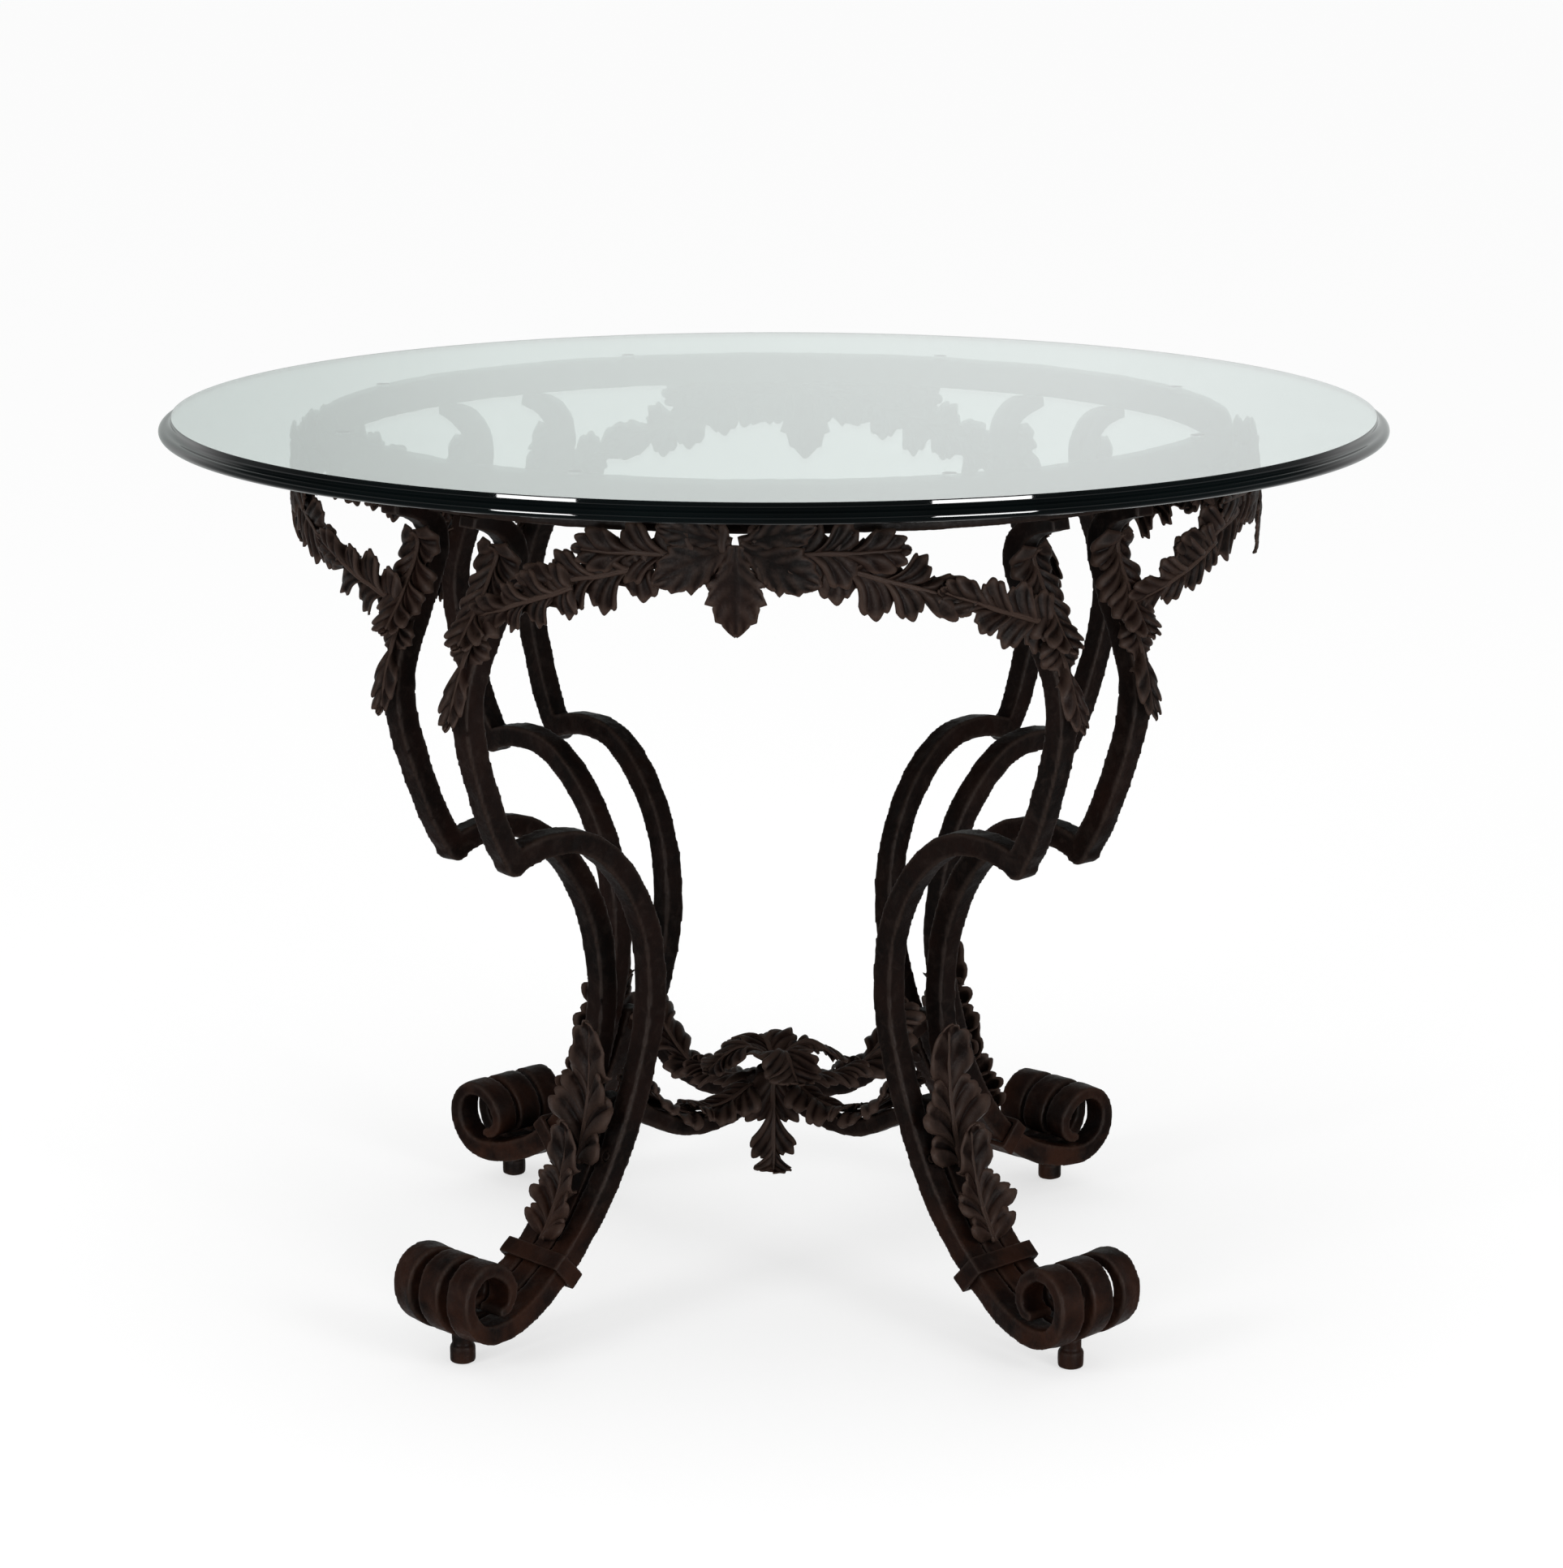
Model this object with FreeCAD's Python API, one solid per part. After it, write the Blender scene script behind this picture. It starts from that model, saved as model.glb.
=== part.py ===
import FreeCAD, Part
import math
import os

# Center table: a round glass top that lies loose on a forged iron base.
# Millimetres, +Z up, origin on the floor at the middle of the table, front towards -Y.

Vec = FreeCAD.Vector
UP = Vec(0, 0, 1)
ACROSS = Vec(0, 1, 0)
OUTWARD = Vec(1, 0, 0)

# Overall sizes
table_height = 788.0
glass_diameter = 1067.0
glass_thickness = 16.0
play = 0.3

# Glass edge: a flat disc, a hollow step and a rounded lip below it
lip_reach = 10.5
lip_height = 9.0
disc_edge_height = 3.0
edge_rounding = 1.0

# Pads and ring
pad_height = 2.0
pad_radius = 6.0
pad_count = 8
ring_radius = 398.0
ring_width = 18.0
ring_height = 28.0
ring_edge = 1.5

# Bars of the legs: places along the profile of one leg
bar = 20.0
knee_inset = 60.0
knee_height = 444.0
knee_rounding = 12.5
waist_radius = 178.0
waist_height = 300.0
collar_radius = 279.0
collar_height = 68.0
leg_lean_deg = 2.58
foot_splay_deg = 7.0
bar_spacing = 21.5
centre_bar_rise = 1.5

# Feet: scrolls, pegs and collars
foot_circle_radius = 368.0
scroll_base_height = 25.0
scroll_height = 74.0
scroll_tip = 9.0
scroll_width = 25.0
peg_radius = 11.0
peg_height = 16.0
peg_edge = 2.5
neck_radius = 9.0
neck_height = 11.0
collar_width = 16.0
collar_thickness = 4.5
collar_play = 1.2
collar_side_play = 1.8

# Rivets through the side bars of the legs
rivet_radius = 4.0
rivet_head_radius = 8.0
rivet_head_height = 5.0

# Leaves of the legs
leaf_thickness = 3.2
leaf_play = 0.6
shoulder_leaf_lift = 13.0
shoulder_leaf_half_width = 23.0
drop_leaf_lift = 10.0
drop_leaf_half_width = 15.0
knee_leaf_lift = 27.0
knee_leaf_half_width = 34.0
ankle_leaf_lift = 33.0
ankle_leaf_half_width = 26.0

# Garlands under the ring
garland_outset = 10.0
garland_stand_off = 24.0
garland_layer = 3.0
rosette_shift = 19.0
rosette_drop = 12.0
pendant_length = 73.0
pendant_half_width = 24.0
rosette_reach = 64.0
rosette_fall = 42.0
rosette_leaf_half_width = 19.0
garland_drop = 84.0
garland_leaf_half_width = 21.0

# Stretcher
arm_thickness = 15.0
arm_width = 16.0
arm_sag_height = 153.0
arm_hub_height = 173.0
arm_leg_height = 194.0
hub_radius = 17.0
hub_height = 30.0
hub_leaf_reach = 66.0
hub_leaf_rise = 15.0
hub_leaf_half_width = 16.5
hub_pendant_drop = 89.0
hub_pendant_swell = 13.0
hub_pendant_half_width = 18.5
hub_pendant_stem = 6.0
arm_leaf_half_width = 17.0
arm_leaf_lift = 12.0

# Heights and radii that follow from the sizes above
glass_bottom = table_height - glass_thickness
ring_top = glass_bottom - pad_height
ring_bottom = ring_top - ring_height
bar_top = ring_bottom - bar / 2
ring_inner_radius = ring_radius - ring_width
knee_radius = ring_radius - knee_inset
centre_bar_top = arm_leg_height + arm_thickness / 2 + centre_bar_rise
hub_bottom = arm_hub_height - hub_height / 2

# Outlines in shares of the sizes that they follow
# Upper bar, from its end under the ring to the knee
upper_bar_shares = [
    (1.0, 1.0), (0.78, 1.0), (0.57, 1.0), (0.24, 0.975), (0.085, 0.92), (0.15, 0.85),
    (0.37, 0.75), (0.62, 0.64), (0.79, 0.545), (0.825, 0.46), (0.76, 0.37), (0.62, 0.27),
    (0.45, 0.172), (0.25, 0.076), (0.02, 0.0),
]
# Lower bar, from the knee to the waist and from the waist to the collar
knee_to_waist_shares = [
    (1.0, 0.0), (0.9, 0.035), (0.78, 0.058), (0.64, 0.055), (0.5, 0.015), (0.36, -0.085),
    (0.231, -0.23), (0.125, -0.41), (0.05, -0.61), (0.012, -0.81), (0.0, -1.0),
]
waist_to_collar_shares = [
    (0.01, 0.892), (0.06, 0.776), (0.149, 0.634), (0.267, 0.491), (0.406, 0.349),
    (0.574, 0.22), (0.772, 0.103), (1.0, 0.0),
]
# Foot scroll, from the collar to the tip of the curl, with the thickness of the bar
foot_shares = [
    (0.225, 0.385, 1.0), (0.472, 0.235, 1.0), (0.742, 0.145, 0.96), (1.0, 0.125, 0.9),
    (1.22, 0.225, 0.78), (1.34, 0.45, 0.66), (1.335, 0.7, 0.6), (1.215, 0.88, 0.58),
    (1.04, 0.915, 0.58), (0.885, 0.83, 0.56), (0.785, 0.69, 0.54), (0.76, 0.54, 0.5),
    (0.8, 0.42, 0.47), (0.9, 0.37, 0.45),
]
# Where the bar begins to widen towards its scroll and where it has its full width
scroll_width_shares = (0.1, 0.8)
# Ends of the leaves and of the garland on the upper bar, from the knee up to the ring
shoulder_leaf_shares = (0.935, 0.601)
drop_leaf_shares = (0.663, 0.409)
garland_end_share = 0.74
garland_end_inset_share = 0.38
# Ends of the leaves and the place of the rivet on the lower bar, from the collar up to the waist
knee_leaf_shares = (0.353, 0.897)
ankle_leaf_shares = (0.078, 0.496)
rivet_share = 0.371
# Leaf outline: notches and lobes by turns, from the base to the tip
leaf_shares = [
    (0.0, 0.34), (0.1, 0.78), (0.22, 0.5), (0.34, 1.0), (0.5, 0.58),
    (0.62, 0.88), (0.74, 0.4), (0.88, 0.4), (1.0, 0.0),
]
# How a leaf lifts off its bar along its length
lift_shares = [(0.0, 0.0), (0.25, 0.02), (0.5, 0.17), (0.75, 0.52), (1.0, 1.0)]
# Stretcher arm, from the hub to the leg: reach, rise towards the hub and rise towards the leg
arm_shares = [
    (0.05, 1.0, 0.0), (0.17, 0.5, 0.0), (0.3, 0.13, 0.0), (0.46, 0.0, 0.0), (0.61, 0.0, 0.14),
    (0.76, 0.0, 0.5), (0.9, 0.0, 0.85), (1.0, 0.0, 1.0),
]
# The two leaves on an arm: where they start and end along it, and how far their tips lift
arm_leaf_shares = [(0.16, 0.5, 0.33), (0.52, 0.86, 1.0)]
# Leaf on the hub, from its base: reach and rise
hub_leaf_shares = [(0.14, 0.0), (0.4, 0.7), (0.7, 1.0), (1.0, 0.6)]
# Pendant of the hub, from its top: how far it stands off and drops
hub_pendant_shares = [
    (0.0, 0.0), (0.0, 0.15), (0.25, 0.28), (0.65, 0.45), (0.9, 0.65), (1.0, 0.82),
    (1.25, 0.94), (1.8, 1.0),
]
# Leaves of a garland, along the side from the rosette to the leg and down from the ring:
# base, tip, layer and width
garland_share_rows = [
    ((0.04, 0.14), (0.56, 0.2), 1, 1.0),
    ((0.34, 0.32), (0.80, 0.7), 0, 1.0),
    ((0.66, 0.62), (1.0, 1.0), 1, 0.72),
]

legs = {"front_left": 225, "front_right": 315, "back_right": 45, "back_left": 135}
sides = {"front": 0, "right": 90, "back": 180, "left": 270}


def save(name, shape):
    """Writes one node and says how many solids it holds."""
    assert shape.isValid() and shape.Solids, name
    shape.exportStep(os.path.join("parts", name + ".step"))
    print(name, len(shape.Solids), "solids,", round(shape.Volume), "mm3")


def turned(shape, degrees, axis=UP, centre=Vec(0, 0, 0)):
    """Copy of a shape turned about an axis."""
    copy = shape.copy()
    copy.rotate(centre, axis, degrees)
    return copy


def moved(shape, offset):
    """Copy of a shape moved by an offset."""
    copy = shape.copy()
    copy.translate(offset)
    return copy


def group(shapes):
    """One node of separate solids."""
    solids = [solid for shape in shapes for solid in shape.Solids]
    return Part.makeCompound(solids)


def largest(shape):
    """The largest solid of a cut shape."""
    return max(shape.Solids, key=lambda solid: solid.Volume)


def spline(points):
    """Smooth curve through the points."""
    curve = Part.BSplineCurve()
    curve.interpolate(points)
    return curve


def strip(points, half_widths, steps=3):
    """Flat strip in the XZ plane along a smooth route, with its half width given at each point."""
    curve = spline(points)
    places = [curve.parameter(point) for point in points]
    left = []
    right = []
    for i in range(len(points) - 1):
        for k in range(steps):
            share = k / steps
            place = places[i] + share * (places[i + 1] - places[i])
            half = half_widths[i] + share * (half_widths[i + 1] - half_widths[i])
            left.append(beside(curve, place, half))
            right.append(beside(curve, place, -half))
    left.append(beside(curve, places[-1], half_widths[-1]))
    right.append(beside(curve, places[-1], -half_widths[-1]))
    edges = [
        spline(left).toShape(),
        Part.makeLine(left[-1], right[-1]),
        spline(right).toShape(),
        Part.makeLine(right[0], left[0]),
    ]
    return Part.Face(Part.Wire(Part.__sortEdges__(edges)))


def beside(curve, place, distance):
    """Point beside a curve in the XZ plane, to the left of its direction when distance is positive."""
    tangent = curve.tangent(place)[0]
    return curve.value(place) + Vec(-tangent.z, 0, tangent.x) * distance


def slab(face, width):
    """Solid of a face in the XZ plane, centred on that plane."""
    return moved(face.extrude(ACROSS * width), ACROSS * (-width / 2))


def disc(centre, radius):
    """Round face in the XZ plane."""
    return Part.Face(Part.Wire(Part.Circle(centre, ACROSS, radius).toShape()))


def above(height):
    """Block that holds everything above a height within reach of the table."""
    side = glass_diameter
    return Part.makeBox(2 * side, 2 * side, side, Vec(-side, -side, height))


# Routes of one leg, in the plane of its bars

def upper_route():
    """Middle line of the upper bar, from its end under the ring to the knee."""
    span = ring_radius - knee_radius
    rise = bar_top - knee_height
    return [Vec(knee_radius + x * span, 0, knee_height + z * rise) for x, z in upper_bar_shares]


def lower_route():
    """Middle line of the lower bar, from the knee past the waist to the collar."""
    knee_span = knee_radius - waist_radius
    knee_rise = knee_height - waist_height
    points = []
    for x, z in knee_to_waist_shares:
        points.append(Vec(waist_radius + x * knee_span, 0, knee_height + z * knee_rise))
    collar_span = collar_radius - waist_radius
    collar_rise = waist_height - collar_height
    for x, z in waist_to_collar_shares:
        points.append(Vec(waist_radius + x * collar_span, 0, collar_height + z * collar_rise))
    return points


upper_line = spline(upper_route())
lower_line = spline(lower_route())
collar_point = lower_route()[-1]
collar_direction = lower_line.tangent(lower_line.LastParameter)[0]


def foot_route():
    """Middle line and half thickness of the foot, from inside the collar to the tip of its curl."""
    span = foot_circle_radius - collar_radius
    points = [collar_point - collar_direction * (collar_width / 2), collar_point]
    halves = [bar / 2, bar / 2]
    for x, z, thickness in foot_shares:
        points.append(Vec(collar_radius + x * span, 0, scroll_base_height + z * scroll_height))
        halves.append(max(thickness * bar, scroll_tip) / 2)
    return points, halves


def upper_height(share):
    """Height at a share of the way from the knee up to the end of the bar."""
    return knee_height + share * (bar_top - knee_height)


def lower_height(share):
    """Height at a share of the way from the collar up to the waist."""
    return collar_height + share * (waist_height - collar_height)


def spacing_at(height):
    """Distance of a side bar from the middle plane of its leg, which grows upwards."""
    return bar_spacing + (height - collar_height) * math.tan(math.radians(leg_lean_deg))


def line_place(curve, height):
    """Place where a line that falls towards its end passes a height."""
    low = curve.LastParameter
    high = low
    step = (curve.LastParameter - curve.FirstParameter) / 200
    while curve.value(high).z < height:
        high -= step
    for _ in range(40):
        middle = (low + high) / 2
        if curve.value(middle).z < height:
            low = middle
        else:
            high = middle
    return middle


def round_end(face):
    """Foot face with the tip of its curl rounded."""
    points, halves = foot_route()
    return face.fuse(disc(points[-1], halves[-1])).removeSplitter()


def foot_plan():
    """Block over the foot's outline seen from above, which widens from the collar to the scroll."""
    span = foot_circle_radius - collar_radius
    start, full = [collar_radius + share * span for share in scroll_width_shares]
    places = [
        (collar_radius - collar_width, bar), (start, bar), (full, scroll_width),
        (foot_circle_radius + scroll_height, scroll_width),
    ]
    near = [Vec(x, width / 2, 0) for x, width in places]
    far = [Vec(x, -width / 2, 0) for x, width in reversed(places)]
    outline = near + far + near[:1]
    return Part.Face(Part.makePolygon(outline)).extrude(UP * table_height)


def foot_solid():
    """The scroll at the end of a bar, forged wider than the bar."""
    points, halves = foot_route()
    return slab(round_end(strip(points, halves)), scroll_width).common(foot_plan())


# Pieces of one leg, with the leg reaching out along +X

def bar_profile():
    """Upper and lower bar in one face, with the knee rounded on its outside."""
    upper = strip(upper_route(), [bar / 2] * len(upper_route()))
    lower = strip(lower_route(), [bar / 2] * len(lower_route()))
    knee = disc(Vec(knee_radius, 0, knee_height), knee_rounding)
    return upper.fuse([lower, knee]).removeSplitter()


def lean(shape, side):
    """Places a piece of the middle plane on a side bar, which leans away from the middle upwards."""
    pivot = Vec(0, side * bar_spacing, collar_height)
    placed = moved(shape, ACROSS * (side * bar_spacing))
    return turned(placed, -side * leg_lean_deg, OUTWARD, pivot)


def rivet_frame(height):
    """Point on the lower bar's middle line at a height, and the direction out of its outer face."""
    place = line_place(lower_line, height)
    tangent = lower_line.tangent(place)[0]
    return lower_line.value(place), Vec(-tangent.z, 0, tangent.x)


def side_bar(side):
    """One bar of a pair, from the ring to its scroll, with its rivet hole."""
    stem = slab(bar_profile(), bar).cut(above(ring_bottom + bar))
    foot = turned(foot_solid(), side * foot_splay_deg, UP, collar_point)
    foot = moved(foot, ACROSS * (side * bar_spacing))
    point, outward = rivet_frame(lower_height(rivet_share))
    hole = Part.makeCylinder(rivet_radius + play, 2 * bar, point - outward * bar, outward)
    whole = lean(stem.cut(hole), side).fuse(foot)
    return largest(whole.cut(above(ring_bottom)))


def centre_bar():
    """Bar between the pair, from the stretcher through the collar to the middle scroll."""
    points = [point for point in lower_route() if point.z <= waist_height]
    stem = slab(strip(points, [bar / 2] * len(points)), bar)
    return stem.fuse(foot_solid()).cut(above(centre_bar_top)).removeSplitter()


def collar():
    """Band round the three bars above the foot."""
    half_across = bar_spacing + bar / 2 + collar_side_play
    half_deep = bar / 2 + collar_play
    outer = Part.makeBox(
        collar_width,
        2 * (half_across + collar_thickness),
        2 * (half_deep + collar_thickness),
        Vec(-collar_width / 2, -half_across - collar_thickness, -half_deep - collar_thickness),
    )
    rim = [edge for edge in outer.Edges if abs(edge.tangentAt(edge.FirstParameter).x) > 0.9]
    outer = outer.makeFillet(collar_thickness / 2, rim)
    inner = Part.makeBox(
        2 * collar_width, 2 * half_across, 2 * half_deep,
        Vec(-collar_width, -half_across, -half_deep),
    )
    slope = math.degrees(math.atan2(-collar_direction.z, collar_direction.x))
    return moved(turned(outer.cut(inner), slope, ACROSS), collar_point)


def peg(seat):
    """Round foot with a neck, seated against the underside of the middle scroll."""
    post = Part.makeCylinder(peg_radius, peg_height, Vec(foot_circle_radius, 0, 0))
    post = post.makeFillet(peg_edge, [edge for edge in post.Edges if edge.Closed])
    neck = Part.makeCylinder(neck_radius, neck_height, Vec(foot_circle_radius, 0, peg_height))
    return largest(post.fuse(neck).cut(seat))


def rivet(side):
    """Rivet through a side bar, with its domed head on the inner side."""
    point, outward = rivet_frame(lower_height(rivet_share))
    head_seat = point - outward * (bar / 2 + play)
    flat = rivet_radius / 2
    bulge = Vec((rivet_head_radius * 2 + flat) / 3, 0, -rivet_head_height * 2 / 3)
    corners = [
        Vec(flat, 0, -rivet_head_height),
        Vec(0, 0, -rivet_head_height),
        Vec(0, 0, bar),
        Vec(rivet_radius, 0, bar),
        Vec(rivet_radius, 0, 0),
        Vec(rivet_head_radius, 0, 0),
    ]
    edges = [Part.makeLine(corners[i], corners[i + 1]) for i in range(len(corners) - 1)]
    edges.append(Part.Arc(corners[-1], bulge, corners[0]).toShape())
    pin = Part.Face(Part.Wire(edges)).revolve(Vec(0, 0, 0), UP, 360)
    tilt = math.degrees(math.atan2(outward.x, outward.z))
    return lean(moved(turned(pin, tilt, ACROSS), head_seat), side)


# Leaves

def lobe_edge(start, peak, end):
    """Curved edge of one lobe, from notch to notch through its peak."""
    curve = Part.BezierCurve()
    curve.setPoles([start, peak * 2 - (start + end) / 2, end])
    return curve.toShape()


def leaf_outline(base, tip, half_width):
    """Lobed leaf face in the XZ plane, from its base to its tip."""
    along = tip - base
    aside = Vec(-along.z, 0, along.x).normalize() * half_width
    edges = []
    for side in (1, -1):
        points = [base + along * share + aside * (side * width) for share, width in leaf_shares]
        for i in range(0, len(points) - 1, 2):
            edges.append(lobe_edge(points[i], points[i + 1], points[i + 2]))
    foot_share = leaf_shares[0][1]
    edges.append(Part.makeLine(base + aside * foot_share, base - aside * foot_share))
    return Part.Face(Part.Wire(Part.__sortEdges__(edges)))


def bar_leaf(curve, base_height, tip_height, tip_lift, half_width):
    """Leaf on the outer face of a bar, whose tip stands away from the bar."""
    rise = tip_height - base_height
    base_lift = leaf_play + (bar + leaf_thickness) / 2
    points = []
    for share, lift in lift_shares:
        place = line_place(curve, base_height + share * rise)
        tangent = curve.tangent(place)[0]
        outward = Vec(-tangent.z, 0, tangent.x)
        points.append(curve.value(place) + outward * (base_lift + lift * tip_lift))
    plate = slab(strip(points, [leaf_thickness / 2] * len(points)), 3 * half_width)
    outline = leaf_outline(Vec(0, 0, points[0].z), Vec(0, 0, points[-1].z), half_width)
    prism = turned(outline, 90).extrude(OUTWARD * ring_radius * 2)
    return largest(plate.common(prism))


def shoulder_leaves(side):
    """Large leaf and the smaller leaf below it on one side bar."""
    top, tip = [upper_height(share) for share in shoulder_leaf_shares]
    large = bar_leaf(upper_line, top, tip, shoulder_leaf_lift, shoulder_leaf_half_width)
    top, tip = [upper_height(share) for share in drop_leaf_shares]
    small = bar_leaf(upper_line, top, tip, drop_leaf_lift, drop_leaf_half_width)
    return group([lean(large, side), lean(small, side)])


def knee_leaf():
    """Large leaf that stands on the lower leg."""
    base, tip = [lower_height(share) for share in knee_leaf_shares]
    return bar_leaf(lower_line, base, tip, knee_leaf_lift, knee_leaf_half_width)


def ankle_leaf():
    """Smaller leaf between the collar and the large leaf."""
    base, tip = [lower_height(share) for share in ankle_leaf_shares]
    return bar_leaf(lower_line, base, tip, ankle_leaf_lift, ankle_leaf_half_width)


# Garlands, built for the front side

def garland_bow():
    """Half span, depth in front of the origin and bow radius of a garland."""
    bar_radius = knee_radius + garland_end_inset_share * knee_inset
    spacing = spacing_at(upper_height(garland_end_share))
    half_span = (bar_radius - spacing) / math.sqrt(2)
    end_depth = (bar_radius + spacing) / math.sqrt(2) + garland_stand_off
    depth = ring_radius + garland_outset
    sag = depth - end_depth
    return half_span, depth, (half_span ** 2 + sag ** 2) / (2 * sag)


def garland_plate(layer):
    """Bowed plate that the leaves of one layer are cut from, on the side towards -Y."""
    half_span, depth, bow_radius = garland_bow()
    axis_foot = Vec(0, bow_radius - depth, 0)
    inner = bow_radius + layer * (garland_layer + play)
    plate = Part.makeCylinder(inner + garland_layer, table_height, axis_foot)
    plate = plate.cut(Part.makeCylinder(inner, table_height, axis_foot))
    return plate


def garland_leaf(layer, outline):
    """Leaf of a garland, cut from its layer."""
    prism = outline.extrude(ACROSS * -glass_diameter)
    under_ring = above(ring_bottom - play)
    return largest(garland_plate(layer).common(prism).cut(under_ring))


def garland(shoulder):
    """The leaves on both sides of the rosette of one side, ending at the shoulder leaves."""
    leaves = []
    half_span = garland_bow()[0]
    for side in (1, -1):
        span = half_span + side * rosette_shift
        for base, tip, layer, width in garland_share_rows:
            ends = []
            for across, down in (base, tip):
                place = side * across * span - rosette_shift
                ends.append(Vec(place, 0, ring_bottom - down * garland_drop))
            outline = leaf_outline(ends[0], ends[1], width * garland_leaf_half_width)
            leaves.append(largest(garland_leaf(layer, outline).cut(shoulder)))
    return group(leaves)


def rosette():
    """Vine leaf with a pendant, at the middle of one side."""
    centre = Vec(-rosette_shift, 0, ring_bottom - rosette_drop)
    leaves = [leaf_outline(centre, centre - UP * pendant_length, pendant_half_width)]
    for side in (1, -1):
        reach = Vec(side * rosette_reach, 0, -rosette_fall)
        leaves.append(leaf_outline(centre, centre + reach, rosette_leaf_half_width))
    leaves.append(disc(centre, rosette_drop))
    outline = leaves[0].fuse(leaves[1:]).removeSplitter()
    return garland_leaf(2, outline)


# Stretcher, one arm along +X

def arm_route():
    """Middle line of a stretcher arm, from the hub to the leg."""
    points = []
    reach_to_leg = lower_line.value(line_place(lower_line, arm_leg_height)).x
    hub_rise = arm_hub_height - arm_sag_height
    leg_rise = arm_leg_height - arm_sag_height
    for reach, hub_part, leg_part in arm_shares:
        height = arm_sag_height + hub_part * hub_rise + leg_part * leg_rise
        points.append(Vec(reach * reach_to_leg, 0, height))
    return points


def arm(hub, post):
    """Stretcher arm, butted against the hub and the centre bar of its leg."""
    points = arm_route()
    solid = slab(strip(points, [arm_thickness / 2] * len(points)), arm_width)
    return largest(solid.cut([hub, post]))


def arm_leaf(start_share, end_share, lift):
    """Leaf on top of a stretcher arm between two places along it."""
    curve = spline(arm_route())
    first = curve.FirstParameter
    length = curve.LastParameter - first
    points = []
    for share, rise in lift_shares:
        place = first + (start_share + share * (end_share - start_share)) * length
        off = (arm_thickness + leaf_thickness) / 2 + leaf_play + rise * lift
        points.append(beside(curve, place, off))
    plate = slab(strip(points, [leaf_thickness / 2] * len(points)), 3 * arm_leaf_half_width)
    flat = leaf_outline(Vec(points[0].x, 0, 0), Vec(points[-1].x, 0, 0), arm_leaf_half_width)
    prism = turned(flat, -90, OUTWARD).extrude(UP * table_height)
    return largest(plate.common(prism))


def arm_leaves():
    """The leaf near the hub and the leaf near the leg on one arm."""
    return group([arm_leaf(start, end, lift * arm_leaf_lift) for start, end, lift in arm_leaf_shares])


def hub():
    """Round boss where the four arms meet."""
    boss = Part.makeCylinder(hub_radius, hub_height, Vec(0, 0, hub_bottom))
    return boss.makeFillet(hub_height / 8, [edge for edge in boss.Edges if edge.Closed])


def hub_rosette():
    """Four leaves that spread from the top of the hub."""
    top = hub_bottom + hub_height + play + leaf_thickness / 2
    points = [Vec(x * hub_leaf_reach, 0, top + z * hub_leaf_rise) for x, z in hub_leaf_shares]
    plate = slab(strip(points, [leaf_thickness / 2] * len(points)), 3 * hub_leaf_half_width)
    flat = leaf_outline(Vec(points[0].x, 0, 0), Vec(points[-1].x, 0, 0), hub_leaf_half_width)
    prism = turned(flat, -90, OUTWARD).extrude(UP * table_height)
    leaf = largest(plate.common(prism))
    return group([turned(leaf, angle) for angle in sides.values()])


def hub_pendant(carriers):
    """Leaf that hangs at the front of the hub between two arms and curls forward at its tip."""
    top = hub_bottom + hub_height
    stand_off = hub_radius + play + leaf_thickness / 2
    points = []
    for x, z in hub_pendant_shares:
        points.append(Vec(stand_off + x * hub_pendant_swell, 0, top - z * hub_pendant_drop))
    plate = slab(strip(points, [leaf_thickness / 2] * len(points)), 3 * hub_pendant_half_width)
    leaf = leaf_outline(Vec(0, 0, hub_bottom), Vec(0, 0, points[-1].z), hub_pendant_half_width)
    stem = Part.makeBox(
        table_height, 2 * hub_pendant_stem, hub_height, Vec(0, -hub_pendant_stem, hub_bottom),
    )
    prism = turned(leaf, 90).extrude(OUTWARD * table_height).fuse(stem)
    return largest(turned(plate.common(prism), -90).cut(carriers))


# Top

def glass_top():
    """Round glass with a stepped edge."""
    lip_radius = glass_diameter / 2
    disc_radius = lip_radius - lip_reach
    lip_middle = glass_bottom + lip_height / 2
    step_low = glass_bottom + lip_height
    step_high = table_height - disc_edge_height
    hollow = Vec(disc_radius + lip_reach / 5, 0, step_low + (step_high - step_low) / 3)
    lip_round = lip_reach / 2
    points = [
        Vec(0, 0, glass_bottom),
        Vec(lip_radius - lip_round, 0, glass_bottom),
        Vec(lip_radius, 0, lip_middle),
        Vec(lip_radius - lip_round, 0, step_low),
        hollow,
        Vec(disc_radius, 0, step_high),
        Vec(disc_radius, 0, table_height - edge_rounding),
        Vec(disc_radius - edge_rounding, 0, table_height),
        Vec(0, 0, table_height),
    ]
    edges = [
        Part.makeLine(points[0], points[1]),
        Part.Arc(points[1], points[2], points[3]).toShape(),
        Part.Arc(points[3], points[4], points[5]).toShape(),
        Part.makeLine(points[5], points[6]),
        Part.makeLine(points[6], points[7]),
        Part.makeLine(points[7], points[8]),
        Part.makeLine(points[8], points[0]),
    ]
    return Part.Face(Part.Wire(edges)).revolve(Vec(0, 0, 0), UP, 360)


def top_ring():
    """Ring of flat-sided bar that the legs carry."""
    ring = Part.makeCylinder(ring_radius, ring_height, Vec(0, 0, ring_bottom))
    ring = ring.cut(Part.makeCylinder(ring_inner_radius, ring_height, Vec(0, 0, ring_bottom)))
    return ring.makeChamfer(ring_edge, [edge for edge in ring.Edges if edge.Closed])


def glass_pads():
    """Round pads between the ring and the glass."""
    middle = ring_radius - ring_width / 2
    pad = Part.makeCylinder(pad_radius, pad_height, Vec(middle, 0, ring_top))
    return group([turned(pad, 360 * (i + 0.5) / pad_count) for i in range(pad_count)])


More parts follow.
